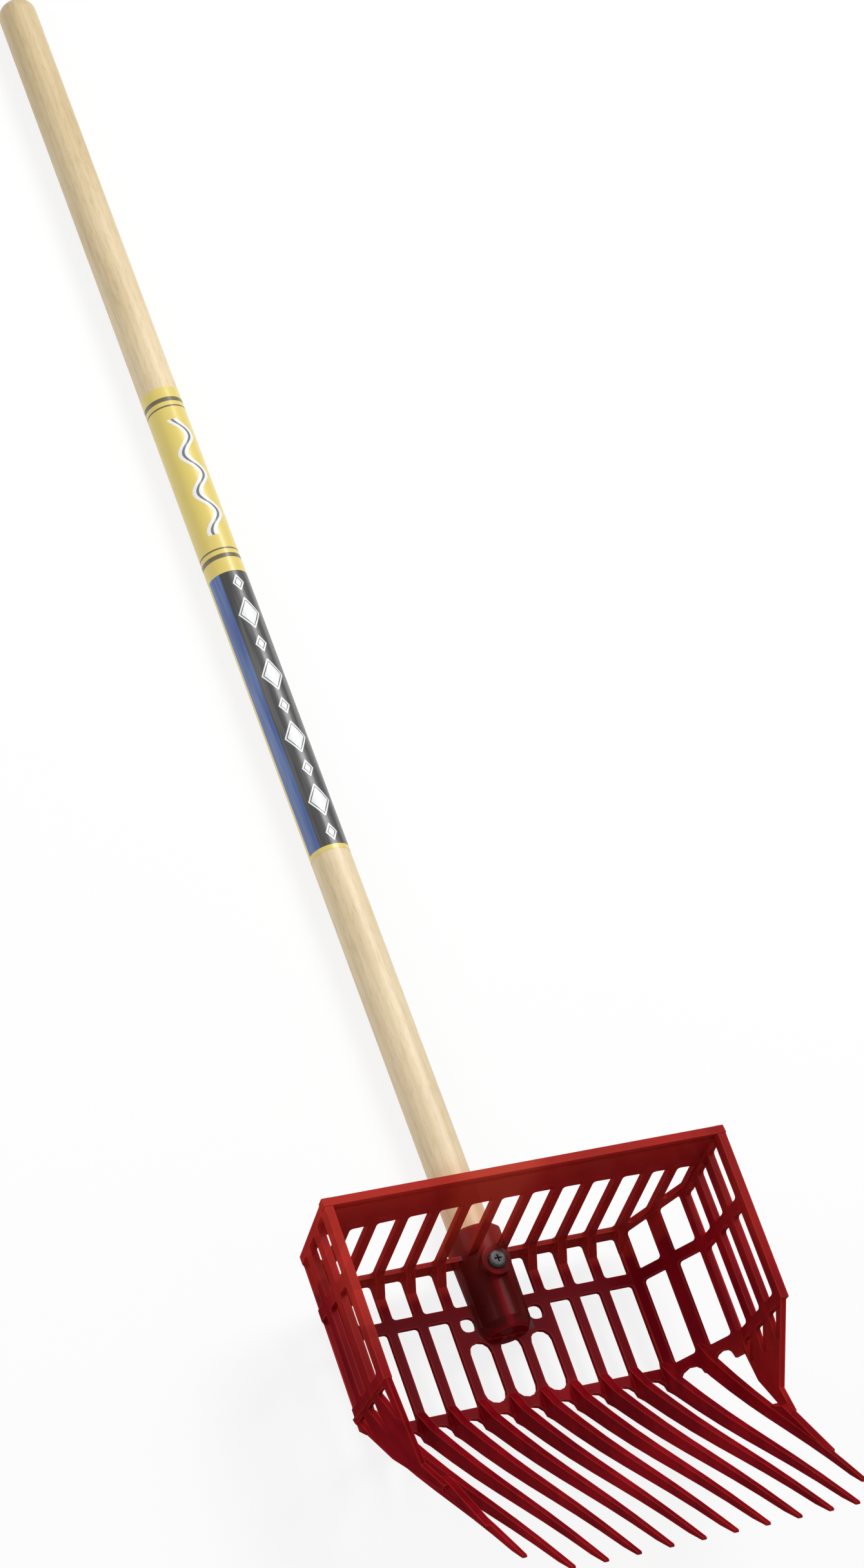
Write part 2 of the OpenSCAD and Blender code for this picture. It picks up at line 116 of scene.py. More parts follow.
class PlasticSettings(bpy.types.PropertyGroup):
    """Colours and finish of the moulded head."""

    deep: colour("Deep red", "Colour of the thick plastic", (0.168, 0.0025, 0.0075))
    bright: colour("Bright red", "Colour of the thin plastic", (0.36, 0.0066, 0.0145))
    # Painted light: the glow on the edges, the rim, the side walls and the right wing
    glow: colour("Edge glow", "Colour of the edges, where light leaves the plastic", (0.68, 0.052, 0.03))
    thick: colour("Thick red", "Colour of the socket, the thickest plastic", (0.125, 0.013, 0.013))
    mouth: colour("Socket mouth", "Colour of the mouth, with wood behind it", (0.27, 0.03, 0.024))
    # Painted highlight along the socket
    streak: colour("Socket streak", "Colour of the lit streak along the socket", (0.36, 0.015, 0.022))
    warm: colour("Warm red", "Colour of the slats with the wood behind them", (0.64, 0.075, 0.04))
    # Painted light: strengths of the glow painted on the rim, the side walls and the wing
    rim_glow: share("Rim glow", "Strength of the glow on the rim and the side walls", 0.57)
    lip_glow: share("Lip glow", "Strength of the glow under the rim, as a share of the rim's", 0.55)
    right_dim: share("Right dim", "Loss of the rim's glow to the right", 0.38)
    wall_dim: share("Wall dim", "Loss of the rim's glow on the right side wall", 0.35)
    wing_glow: share("Wing glow", "Strength of the glow on the right wing", 0.15)
    # Painted shade on the back slats
    back_shade: share("Back depth", "Loss of the bright red on the back", 0.85)
    warmth: share("Warmth", "Strength of the warm red over the handle", 0.5)
    streak_light: share("Streak light", "Strength of the lit streak along the socket", 0.85)
    clearness: share("Clearness", "Share of the light that passes through the plastic", 0.36)
    roughness: share("Roughness", "Mean roughness of the moulded surface", 0.2)
    gloss: share("Gloss", "Strength of the surface's mirror layer", 0.022)
    socket_gloss: share("Socket gloss", "Strength of the mirror layer on the round socket", 0.05)
    edge_radius: length("Edge radius", "Radius of the rounded moulded edges", 0.0009)
    glow_width: length("Glow width", "Width of the glow along the edges", 0.0026)
    relief: length("Relief", "Height of the flow marks and pits", 0.0001)


class WoodSettings(bpy.types.PropertyGroup):
    """Colours and grain of the turned handle."""

    pale: colour("Pale wood", "Colour of the early wood", (0.79, 0.645, 0.41))
    tan: colour("Tan wood", "Colour of the late wood lines", (0.55, 0.41, 0.21))
    grey: colour("Grey streaks", "Colour of the greyish fibres", (0.46, 0.39, 0.25))
    # Painted light: the red light that the head throws on the nearby wood
    cast: colour("Red cast", "Colour of the wood in the light of the head", (0.66, 0.30, 0.14))
    ring_pitch: length("Ring pitch", "Spacing of the growth rings", 0.0052)
    aged_share: share("Aged end", "Strength of the tan towards the free end", 0.42)
    cast_share: share("Cast", "Strength of the red cast beside the head", 0.55)
    coat: share("Coat", "Strength of the satin coat", 0.26)
    coat_rough: share("Coat roughness", "Roughness of the satin coat", 0.4)
    relief: length("Relief", "Height of the fibres and pores", 0.00012)


class ScrewSettings(bpy.types.PropertyGroup):
    """Sizes and colour of the screw."""

    steel: colour("Plated steel", "Colour of the zinc plating", (0.128, 0.132, 0.142))
    dull: colour("Dull patches", "Colour of the dulled plating", (0.072, 0.074, 0.079))
    # A darker colour in the cross recess
    recess_dark: colour("Recess", "Colour of the dirt in the recess", (0.04, 0.04, 0.05))
    darkening: share("Dirt", "Strength of the dirt in the recess", 0.85)
    metal: share("Metal", "Share of bare metal in the plating", 0.85)
    head_r: length("Head radius", "Radius of the pan head", SCREW_R)
    head_h: length("Head height", "Height of the pan head", 0.0034)
    shank_r: length("Shank radius", "Radius of the shank", 0.0025)
    recess_len: length("Recess length", "Length of each arm of the cross recess", 0.0076)
    recess_w: length("Recess width", "Width of each arm of the cross recess", 0.0017)
    recess_depth: length("Recess depth", "Depth of the cross recess", 0.0021)
    relief: length("Relief", "Height of the turning marks", 0.00006)
    sides: IntProperty(name="Sides", description="Faces round the screw", default=64)


class LabelSettings(bpy.types.PropertyGroup):
    """Layout and inks of the printed wrap."""

    yellow: colour("Yellow ink", "Ground of the upper part", (0.75, 0.60, 0.16))
    ochre: colour("Worn yellow", "Yellow ink where it is worn", (0.68, 0.55, 0.19))
    blue: colour("Blue ink", "Band beside the dark ground", (0.075, 0.13, 0.34))
    # Painted sheen on the blue ink
    sky: colour("Blue sheen", "Blue ink where it shines", (0.17, 0.25, 0.47))
    charcoal: colour("Charcoal ink", "Ground of the lower part", (0.06, 0.06, 0.06))
    # Painted sheen on the charcoal ink
    slate: colour("Charcoal sheen", "Charcoal ink where it shines", (0.17, 0.17, 0.165))
    white: colour("White ink", "Ribbon and lozenges", (0.80, 0.81, 0.82))
    upper_len: length("Upper part", "Length of the yellow part", 0.180)
    band_from: turn("Band start", "Where the blue band starts round the handle", -92)
    band_to: turn("Band end", "Where the blue band meets the dark ground", -44)
    dark_to: turn("Dark end", "Where the dark ground ends round the handle", 118)
    gem_pitch: length("Lozenge pitch", "Spacing of the white lozenges", 0.02955)
    wave_len: length("Wave length", "Length of one wave of the ribbon", 0.0385)
    coat: share("Coat", "Strength of the film's gloss", 0.25)
    coat_rough: share("Coat roughness", "Roughness of the film's gloss", 0.15)
    relief: length("Relief", "Height of the film's crinkles", 0.00015)


class StageSettings(bpy.types.PropertyGroup):
    """Camera, floor and lights."""

    eye: FloatVectorProperty(
        name="Eye", description="Place of the camera", subtype="TRANSLATION", unit="LENGTH",
        precision=5, default=(-1.50159, -1.69190, 3.08361),
    )
    aim: FloatVectorProperty(
        name="Aim", description="Turn of the camera", subtype="EULER",
        default=(math.radians(33.19981), math.radians(-17.32291), math.radians(-19.92433)),
    )
    lens: FloatProperty(name="Lens", description="Focal length in millimetres", default=110.34)
    shift: FloatVectorProperty(
        name="Shift", description="Shift of the lens", size=2, default=(-0.00325, -0.0007)
    )
    floor_w: length("Floor", "Width of the floor", 40)
    white: share("White", "Share of the floor's own white", 0.84)
    sky: FloatProperty(name="Sky", description="Strength of the soft surrounding light", default=0.3)
    key: FloatProperty(name="Key", description="Power of the main lamp", unit="POWER", default=55)
    fill: FloatProperty(
        name="Fill", description="Power of the lamp on the left", unit="POWER", default=13
    )


class ForkSettings(bpy.types.PropertyGroup):
    """All settings of the fork."""

    plastic: PointerProperty(type=PlasticSettings, name="Plastic", description="The moulded head")
    wood: PointerProperty(type=WoodSettings, name="Wood", description="The handle")
    screw: PointerProperty(type=ScrewSettings, name="Screw", description="The socket's screw")
    label: PointerProperty(type=LabelSettings, name="Label", description="The printed wrap")
    stage: PointerProperty(type=StageSettings, name="Stage", description="Camera, floor and lights")


class Value:
    """A shader socket that takes part in Python expressions."""

    def __init__(self, tree, socket):
        self.tree, self.socket = tree, socket

    def __add__(self, other):
        return self.tree.math("ADD", self, other)

    def __sub__(self, other):
        return self.tree.math("SUBTRACT", self, other)

    def __rsub__(self, other):
        return self.tree.math("SUBTRACT", other, self)

    def __mul__(self, other):
        return self.tree.math("MULTIPLY", self, other)

    def __truediv__(self, other):
        return self.tree.math("DIVIDE", self, other)

    def __rtruediv__(self, other):
        return self.tree.math("DIVIDE", other, self)

    def __gt__(self, other):
        return self.tree.math("GREATER_THAN", self, other)

    def __lt__(self, other):
        return self.tree.math("LESS_THAN", self, other)

    def __abs__(self):
        return self.tree.math("ABSOLUTE", self)

    __radd__ = __add__
    __rmul__ = __mul__

    def sine(self):
        return self.tree.math("SINE", self)

    def root(self):
        return self.tree.math("SQRT", self)

    def fraction(self):
        return self.tree.math("FRACT", self)

    def highest(self, other):
        return self.tree.math("MAXIMUM", self, other)

    def stripes(self):
        """A wave from 0 to 1, one for each full turn of the value."""
        return self.sine() * 0.5 + 0.5

    def within(self, low, high):
        """One between two limits, else zero."""
        return (self > low) * (self < high)

    def ramp(self, low, high):
        """Zero below low, one above high, smooth between."""
        return self.tree.node(
            "ShaderNodeMapRange", {"interpolation_type": "SMOOTHSTEP"},
            {"Value": self, "From Min": low, "From Max": high},
        )


class Tree:
    """The node tree of a new material or of the world."""

    def __init__(self, owner):
        owner.use_nodes = True
        self.tree = owner.node_tree
        self.tree.nodes.clear()

    def node(self, kind, setup=None, sockets=None, out=0):
        """Adds a node, sets it up, feeds its sockets and returns one of its outputs."""
        made = self.tree.nodes.new(kind)
        for key, value in (setup or {}).items():
            setattr(made, key, value)
        for key, value in (sockets or {}).items():
            socket = made.inputs[key]
            if isinstance(value, Value):
                self.tree.links.new(value.socket, socket)
            elif socket.type == "RGBA":
                socket.default_value = (*value, 1)
            else:
                socket.default_value = value
        return Value(self, made.outputs[out]) if made.outputs else None

    def math(self, operation, *values):
        """A sum, or another step of arithmetic, on values and numbers."""
        return self.node("ShaderNodeMath", {"operation": operation}, dict(enumerate(values)))

    def place(self):
        """The point of the surface in the frame of the part."""
        return self.node("ShaderNodeTexCoord", out="Object")

    def parts(self, vector):
        """The three numbers of a vector."""
        first = self.node("ShaderNodeSeparateXYZ", None, {0: vector})
        return [Value(self, out) for out in first.socket.node.outputs]

    def noise(self, place, grain):
        """Smooth noise from 0 to 1."""
        if grain.along != 1:
            squeeze = {0: place, 1: (1, grain.along, 1)}
            place = self.node("ShaderNodeVectorMath", {"operation": "MULTIPLY"}, squeeze)
        return self.node("ShaderNodeTexNoise", None, {
            "Vector": place, "Scale": grain.scale, "Detail": grain.detail, "Roughness": grain.rough,
        })

    def mix(self, factor, first, second):
        """One colour laid over another."""
        sockets = {0: factor, 6: first, 7: second}
        return self.node("ShaderNodeMix", {"data_type": "RGBA"}, sockets, out=2)

    def rounded(self, radius, samples):
        """The surface's normal, rounded at the edges."""
        return self.node("ShaderNodeBevel", {"samples": samples}, {"Radius": radius})

    def bump(self, height, distance, strength, normal=None):
        """A normal that follows a height."""
        sockets = {"Height": height, "Distance": distance, "Strength": strength}
        if normal:
            sockets["Normal"] = normal
        return self.node("ShaderNodeBump", None, sockets)

    def surface(self, **inputs):
        """The Principled shader as the material's surface."""
        named = {key.replace("_", " "): value for key, value in inputs.items()}
        self.finish(self.node("ShaderNodeBsdfPrincipled", None, named))

    def finish(self, shader, kind="ShaderNodeOutputMaterial"):
        """Joins a shader to the output."""
        self.node(kind, None, {"Surface": shader})


def settings():
    """The settings of this scene."""
    return bpy.context.scene.fork


def dress(piece, material):
    """Gives a piece its one material."""
    piece.data.materials.clear()
    piece.data.materials.append(material)


def only(piece):
    """Selects one object alone."""
    bpy.ops.object.select_all(action="DESELECT")
    piece.select_set(True)
    bpy.context.view_layer.objects.active = piece


def pick(piece, test):
    """In edit mode, selects the faces whose normal passes a test."""
    bpy.ops.mesh.select_mode(type="FACE")
    bpy.ops.mesh.select_all(action="DESELECT")
    mesh = bmesh.from_edit_mesh(piece.data)
    found = 0
    for face in mesh.faces:
        if test(face.normal):
            face.select_set(True)
            found += 1
    bmesh.update_edit_mesh(piece.data)
    if not found:
        raise RuntimeError("no face of " + piece.name + " was found")


def looks_up(normal):
    """Whether a face looks straight up."""
    return normal.z > UPRIGHT


def looks_down(normal):
    """Whether a face looks straight down."""
    return normal.z < -UPRIGHT


# Plastic: its noises
CLOUD = Grain(14, 3)
FLOW = Grain(90, 4, 0.6, along=0.25)
PITS = Grain(900)
SMEAR = Grain(38, 4, 0.65)
# Plastic: where each region starts to show and where it shows in full
LIT_FADE = (0.3, 0.74)
EDGE_FADE = (0.72, 0.99)
SOCKET_FADE = (SOCKET_R, SOCKET_R * 1.03)
FLOOR_FADE = (FLOOR_Y, FLOOR_Y + 0.004)
MOUTH_FADE = (MOUTH_Y - 0.06, MOUTH_Y)
BOSS_FADE = (BOSS_R, BOSS_R * 1.04)
BOSS_FOOT = (AXIS_Z + 0.0195, AXIS_Z + 0.021)
BOSS_TOP = (0.06, 0.062)
STREAK_TURN = math.radians(-8)
STREAK_FADE = (0.06, 0.24)
RIM_Z = (0.085, 0.15)
RIM_Y = (BAR_Y - 0.02, BAR_Y + 0.06)
LIP_Y = (BAR_Y + 0.088, BAR_Y + 0.095)
DIM_X = (-0.12, 0.14)
WALL_X = (0.146, 0.156)
BACK_Y = (BAR_Y, BAR_Y + 0.012)
BACK_Z = (0.034, 0.05)
WARM_X = -0.022
WARM_FADE = (0.02, 0.045)
WARM_Y = (BAR_Y + 0.1, BAR_Y + 0.115)
WING_X = (0.13, 0.15)
WING_Y = (BAR_Y - 0.02, BAR_Y + 0.01)
# Plastic: parts of the noises in its light, edges, socket, roughness and relief
LIT_CLOUD, LIT_FLOW = 0.6, 0.4
EDGE_EVEN, EDGE_FLOW = 0.45, 0.4
CORE_EVEN, CORE_FLOW = 0.7, 0.3
ROUGH_EVEN, ROUGH_SMEAR = 0.7, 0.9
RELIEF_FLOW, RELIEF_PITS = 0.85, 0.15
PLASTIC_BUMP = 0.3
# Plastic: rays that find the rounded edges and their glow
EDGE_RAYS, GLOW_RAYS = 6, 8


def red_plastic():
    """Clear red moulding: brighter where it is thin, with flow marks and rounded edges, painted light on
    the edges, rim, side walls and wing, painted shade on the back and a painted highlight along the
    socket.
    """
    look = settings().plastic
    material = bpy.data.materials.new("red_plastic")
    tree = Tree(material)
    place = tree.place()
    x, y, z = tree.parts(place)
    up, dx, dy = z - AXIS_Z, x - SCREW_X, y - SCREW_Y
    cloud, flow = tree.noise(place, CLOUD), tree.noise(place, FLOW)
    pits, smear = tree.noise(place, PITS), tree.noise(place, SMEAR)

    # Painted light: edges get the glow colour where the rounded normal leaves the flat one
    flat = tree.node("ShaderNodeNewGeometry", out="Normal")
    facing = tree.node(
        "ShaderNodeVectorMath", {"operation": "DOT_PRODUCT"},
        {0: tree.rounded(look.glow_width, GLOW_RAYS), 1: flat}, out="Value",
    )
    edge = 1 - facing.ramp(*EDGE_FADE)

    # The socket and the boss on it are thick, with a painted highlight along it and a lighter mouth
    core = (1 - (x * x + up * up).root().ramp(*SOCKET_FADE)) * y.ramp(*FLOOR_FADE)
    boss = (1 - (dx * dx + dy * dy).root().ramp(*BOSS_FADE)) * z.ramp(*BOSS_FOOT)
    core = core.highest(boss * (1 - z.ramp(*BOSS_TOP)))
    # Painted highlight: a lit stripe along the top of the socket
    streak = 1 - abs(tree.math("ARCTAN2", x, up) - STREAK_TURN).ramp(*STREAK_FADE)
    socket = tree.mix(y.ramp(*MOUTH_FADE), look.thick, look.mouth)
    socket = tree.mix(streak * look.streak_light, socket, look.streak)

    # Painted light gathers in the rim, the side walls and the right wing; painted shade keeps the back
    # deep
    rim = (z.ramp(*RIM_Z) * y.ramp(*RIM_Y)).highest(y.ramp(*LIP_Y) * look.lip_glow)
    rim = rim * (1 - x.ramp(*DIM_X) * look.right_dim) * (1 - x.ramp(*WALL_X) * look.wall_dim)
    wing = x.ramp(*WING_X) * (1 - y.ramp(*WING_Y))
    # Painted shade: the back slats, deep in the basket, are kept darker
    back = y.ramp(*BACK_Y) * (1 - z.ramp(*BACK_Z))
    warm = (1 - abs(x - WARM_X).ramp(*WARM_FADE)) * z.ramp(*BACK_Z) * y.ramp(*WARM_Y)
    lit = (cloud * LIT_CLOUD + flow * LIT_FLOW).ramp(*LIT_FADE)

    body = tree.mix(lit * (1 - back * look.back_shade), look.deep, look.bright)
    # Painted light: the glow colour on the rim, the side walls and the right wing
    body = tree.mix((rim * look.rim_glow).highest(wing * look.wing_glow), body, look.glow)
    body = tree.mix(warm * look.warmth, body, look.warm)
    # Painted light: the glow colour along the edges
    body = tree.mix(edge * (EDGE_EVEN + flow * EDGE_FLOW), body, look.glow)
    tree.surface(
        Base_Color=tree.mix(core * (CORE_EVEN + flow * CORE_FLOW), body, socket),
        Roughness=look.roughness * ROUGH_EVEN + smear * (look.roughness * ROUGH_SMEAR),
        IOR=1.0,
        Transmission_Weight=look.clearness,
        Coat_Weight=look.gloss + core * look.socket_gloss,
        Coat_Roughness=look.roughness,
        Normal=tree.bump(
            flow * RELIEF_FLOW + pits * RELIEF_PITS, look.relief, PLASTIC_BUMP,
            tree.rounded(look.edge_radius, EDGE_RAYS),
        ),
    )
    return material


# Wood: its noises
SWAY = Grain(28, along=0.045)
FIBRE = Grain(1500, 3, 0.6, along=0.02)
MOTTLE = Grain(60, 3, along=0.12)
FLECK = Grain(430, 3, 0.6, along=0.16)
PORES = Grain(2600, 1, along=0.03)
# Wood: the tilt and the sway of the rings, and where each mark shows
RING_X, RING_Z, RING_SWAY = 0.86, 0.5, 0.013
RING_FADE = (0.25, 1)
MOTTLE_FADE = (0.4, 0.75)
FLECK_FADE = (0.48, 0.74)
FIBRE_FADE = (0.5, 0.78)
PORE_FADE = (0.62, 0.72)
AGED_Y = (HANDLE_HI.y - 0.47, HANDLE_HI.y - 0.07)
CAST_Y = (MOUTH_Y + 0.03, MOUTH_Y + 0.065)
# Wood: parts of the marks in its colour, roughness and relief
LATE_RINGS, LATE_MOTTLE, LATE_FLECK = 0.12, 0.34, 0.34
GREY_FIBRE, TAN_PORES = 0.45, 0.4
WOOD_ROUGH, WOOD_ROUGH_FIBRE = 0.42, 0.18
RELIEF_FIBRE, RELIEF_PORES, RELIEF_RINGS = 0.6, 0.4, 0.2
WOOD_BUMP = 0.6


def pale_wood():
    """Blond turned wood: growth rings cut along the grain, fibres and a satin coat."""
    look = settings().wood
    material = bpy.data.materials.new("ash_wood")
    tree = Tree(material)
    place = tree.place()
    x, y, z = tree.parts(place)
    depth = x * RING_X + z * RING_Z + tree.noise(place, SWAY) * RING_SWAY
    rings = (depth * (math.tau / look.ring_pitch)).stripes().ramp(*RING_FADE)
    fibre = tree.noise(place, FIBRE)
    mottle = tree.noise(place, MOTTLE).ramp(*MOTTLE_FADE)
    fleck = tree.noise(place, FLECK).ramp(*FLECK_FADE)
    pores = tree.noise(place, PORES).ramp(*PORE_FADE)
    aged, beside = y.ramp(*AGED_Y), 1 - y.ramp(*CAST_Y)
    late = rings * LATE_RINGS + mottle * LATE_MOTTLE + fleck * LATE_FLECK + aged * look.aged_share
    ground = tree.mix(late, look.pale, look.tan)
    # Painted light: red light from the head on the wood beside it
    ground = tree.mix(beside * look.cast_share, ground, look.cast)
    relief = fibre * RELIEF_FIBRE - pores * RELIEF_PORES + rings * RELIEF_RINGS
    streaked = tree.mix(fibre.ramp(*FIBRE_FADE) * GREY_FIBRE, ground, look.grey)
    tree.surface(
        Base_Color=tree.mix(pores * TAN_PORES, streaked, look.tan),
        Roughness=WOOD_ROUGH + fibre * WOOD_ROUGH_FIBRE,
        Coat_Weight=look.coat,
        Coat_Roughness=look.coat_rough,
        Normal=tree.bump(relief, look.relief, WOOD_BUMP),
    )
    return material


# Steel: its blotches and turning marks, and the reach of the darker recess as shares of the recess and
# head
BLOTCH = Grain(420, 4, 0.65)
DARK_R_SHARE, DARK_DROP_SHARE = 0.62, 0.16
MARKS_PER_METRE = 9000
DARK_METAL_LOSS = 0.5
STEEL_ROUGH, STEEL_ROUGH_BLOTCH = 0.34, 0.22
RELIEF_MARKS, RELIEF_BLOTCH = 0.3, 0.7
STEEL_BUMP = 0.5


def plated_steel():
    """Zinc-plated steel with turning marks and a darker, less metallic recess."""
    look = settings().screw
    material = bpy.data.materials.new("screw_steel")
    tree = Tree(material)
    place = tree.place()
    x, y, z = tree.parts(place)
    dx, dy = x - SCREW_X, y - SCREW_Y
    radius = (dx * dx + dy * dy).root()
    marks = (radius * MARKS_PER_METRE).stripes()
    blotch = tree.noise(place, BLOTCH)
    # The cross recess is coloured darker and less metallic
    inner = radius < look.recess_len * DARK_R_SHARE
    inner = inner * (z < SCREW_HI.z - look.head_h * DARK_DROP_SHARE)
    plating = tree.mix(blotch, look.steel, look.dull)
    tree.surface(
        Base_Color=tree.mix(inner * look.darkening, plating, look.recess_dark),
        Metallic=look.metal - inner * DARK_METAL_LOSS,
        Roughness=STEEL_ROUGH + blotch * STEEL_ROUGH_BLOTCH,
        Normal=tree.bump(marks * RELIEF_MARKS + blotch * RELIEF_BLOTCH, look.relief, STEEL_BUMP),
    )
    return material


# Wrap: its noises
WORN = Grain(300, 4, 0.65)
CRINKLE = Grain(110, 3, along=0.4)
SHEEN = Grain(240, along=0.05)
# Wrap: places down from its upper edge, turns round the handle in radians, and lozenge sizes
RINGS = ((0.010, 0.014), (0.018, 0.0195), (0.160, 0.1615), (0.1655, 0.1695))
WAVE_FIELD = (0.032, 0.147)
WAVE_TURN, WAVE_SWING = 0.02, 0.34
RIBBON_HALF, THREAD_HALF = 0.27, 0.07
INSET_START, INSET_END = 0.003, 0.004
GEM_TURN, GEM_SQUEEZE = 0.04, 0.62
GEM_SMALL, GEM_EXTRA = 0.0050, 0.0046
GEM_LINE = (0.0024, 0.0015)
SHEEN_FADE = (0.4, 0.7)
# Wrap: strength of the wear, the lines and the sheen, and parts of the noises in its finish
WORN_YELLOW, LINE_INK = 0.25, 0.85
DARK_SHEEN, BAND_SHEEN = 0.6, 0.7
FILM_ROUGH, FILM_ROUGH_WORN = 0.26, 0.16
RELIEF_CRINKLE, RELIEF_WORN = 0.7, 0.3
FILM_BUMP = 0.4


def printed_film():
    """The wrap's print: a yellow part with a waved ribbon, a dark part with lozenges and a blue band."""
    look = settings().label
    material = bpy.data.materials.new("label_film")
    tree = Tree(material)
    place = tree.place()
    x, y, z = tree.parts(place)
    angle = tree.math("ARCTAN2", x, z - AXIS_Z)
    down = LABEL_HI.y - y
    worn, crinkle = tree.noise(place, WORN), tree.noise(place, CRINKLE)
    sheen = tree.noise(place, SHEEN).ramp(*SHEEN_FADE)

    # Upper part: rings at both ends, and a ribbon with a thread along its middle
    rings = down.within(*RINGS[0])
    for ring in RINGS[1:]:
        rings = rings.highest(down.within(*ring))
    swing = (down * (math.tau / look.wave_len)).sine() * WAVE_SWING
    wave = abs(angle - WAVE_TURN - swing)
    field = down.within(*WAVE_FIELD)
    ribbon, thread = field * (wave < RIBBON_HALF), field * (wave < THREAD_HALF)

    # Lower part: a band, a dark ground, and small and large lozenges by turns
    inset = down.within(look.upper_len + INSET_START, LABEL_LEN - INSET_END)
    band = inset * angle.within(look.band_from, look.band_to)
    dark = inset * angle.within(look.band_to, look.dark_to)
    step = (down - look.upper_len) / look.gem_pitch
    size = ((step * 0.5).fraction() > 0.5) * GEM_EXTRA + GEM_SMALL
    gem = abs(step.fraction() - 0.5) * (look.gem_pitch * GEM_SQUEEZE)
    gem = gem + abs(angle - GEM_TURN) * HANDLE_R
    outer, inner = GEM_LINE
    gems = inset * (gem < size) * (1 - (gem > size - outer) * (gem < size - inner))

    inks = tree.mix(worn * WORN_YELLOW, look.yellow, look.ochre)
    inks = tree.mix(ribbon, inks, look.white)
    inks = tree.mix(rings.highest(thread) * LINE_INK, inks, look.charcoal)
    # Painted sheen: the charcoal and the blue get lighter where a noise says the film shines
    inks = tree.mix(dark, inks, tree.mix(sheen * DARK_SHEEN, look.charcoal, look.slate))
    inks = tree.mix(band, inks, tree.mix(sheen * BAND_SHEEN, look.blue, look.sky))
    inks = tree.mix(gems, inks, look.white)
    tree.surface(
        Base_Color=inks,
        Roughness=FILM_ROUGH + worn * FILM_ROUGH_WORN,
        Coat_Weight=look.coat,
        Coat_Roughness=look.coat_rough,
        Normal=tree.bump(crinkle * RELIEF_CRINKLE + worn * RELIEF_WORN, look.relief, FILM_BUMP),
    )
    return material


class FORK_OT_head(bpy.types.Operator):
    """Finish the moulded head in clear red plastic"""

    bl_idname = "fork.head"
    bl_label = "Moulded head"

    def execute(self, context):
        dress(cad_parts["fork_head"], red_plastic())
        return {"FINISHED"}


class FORK_OT_handle(bpy.types.Operator):
    """Finish the turned handle in blond wood"""

    bl_idname = "fork.handle"
    bl_label = "Turned handle"

    def execute(self, context):
        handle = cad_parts["handle"]
        dress(handle, pale_wood())
        only(handle)
        bpy.ops.object.shade_smooth_by_angle(angle=TURNED_ANGLE)
        return {"FINISHED"}


class FORK_OT_label(bpy.types.Operator):
    """Print the wrap round the handle"""

    bl_idname = "fork.label"
    bl_label = "Printed wrap"

    def execute(self, context):
        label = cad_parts["handle_label"]
        dress(label, printed_film())
        only(label)
        bpy.ops.object.shade_smooth_by_angle(angle=TURNED_ANGLE)
        return {"FINISHED"}


# Screw: its rolled edge, taper, tip and recess floor, as shares of the sizes they follow
ROLL_SHARE, ROLL_STEPS = 0.62, 7
TAPER_SHARE, TIP_SHARE = 1.6, 0.25
RECESS_FLOOR_SHARE = 0.6


class FORK_OT_screw(bpy.types.Operator):
    """Model the pan-head screw with its cross recess"""

    bl_idname = "fork.screw"
    bl_label = "Socket screw"

    def execute(self, context):
        look = settings().screw
        seat = SCREW_HI.z - look.head_h
        bpy.ops.object.select_all(action="DESELECT")
        bpy.ops.mesh.primitive_cylinder_add(
            vertices=look.sides, radius=look.head_r, depth=look.head_h,
            location=(SCREW_X, SCREW_Y, seat + look.head_h / 2),
        )
        screw = context.active_object
        screw.name = "pan_head_screw"
        bpy.ops.object.transform_apply(location=True, rotation=True, scale=True)
        bpy.ops.object.mode_set(mode="EDIT")
        pick(screw, looks_up)
        bpy.ops.mesh.bevel(
            offset=look.head_h * ROLL_SHARE, segments=ROLL_STEPS, affect="EDGES", clamp_overlap=True
        )
        pick(screw, looks_down)
        bpy.ops.mesh.inset(thickness=look.head_r - look.shank_r)
        drop = seat - SCREW_LO.z
        taper = look.shank_r * TAPER_SHARE
        for step in (taper - drop, -taper):
            bpy.ops.mesh.extrude_region_move(TRANSFORM_OT_translate={"value": (0, 0, step)})
        bpy.ops.transform.resize(
            value=(TIP_SHARE, TIP_SHARE, 1), center_override=(SCREW_X, SCREW_Y, SCREW_LO.z)
        )
        bpy.ops.object.mode_set(mode="OBJECT")
        for angle in (0, math.pi / 2):
            self.cut_arm(context, screw, angle)
        only(screw)
        bpy.ops.object.shade_smooth_by_angle(angle=SCREW_ANGLE)
        dress(screw, plated_steel())
        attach(screw, "root")
        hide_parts("socket_screw")
        return {"FINISHED"}

    def cut_arm(self, context, screw, angle):
        """Cuts one arm of the cross recess, narrower at its floor."""
        look = settings().screw
        bpy.ops.object.select_all(action="DESELECT")
        bpy.ops.mesh.primitive_cube_add(
            size=1, location=(SCREW_X, SCREW_Y, SCREW_HI.z), rotation=(0, 0, angle)
        )
        cutter = context.active_object
        cutter.scale = (look.recess_len, look.recess_w, look.recess_depth * 2)
        bpy.ops.object.transform_apply(location=True, rotation=True, scale=True)
        bpy.ops.object.mode_set(mode="EDIT")
        pick(cutter, looks_down)
        bpy.ops.transform.resize(
            value=(RECESS_FLOOR_SHARE, RECESS_FLOOR_SHARE, 1),
            center_override=(SCREW_X, SCREW_Y, SCREW_HI.z - look.recess_depth),
        )
        bpy.ops.object.mode_set(mode="OBJECT")
        only(screw)
        cut = screw.modifiers.new("recess", "BOOLEAN")
        cut.operation, cut.object, cut.solver = "DIFFERENCE", cutter, "EXACT"
        bpy.ops.object.modifier_apply(modifier=cut.name)
        only(cutter)
        bpy.ops.object.delete()


class Lamp(NamedTuple):
    """A square lamp: its name, also that of its power's setting, its width, place and target."""

    name: str
    width: float
    place: tuple
    target: tuple


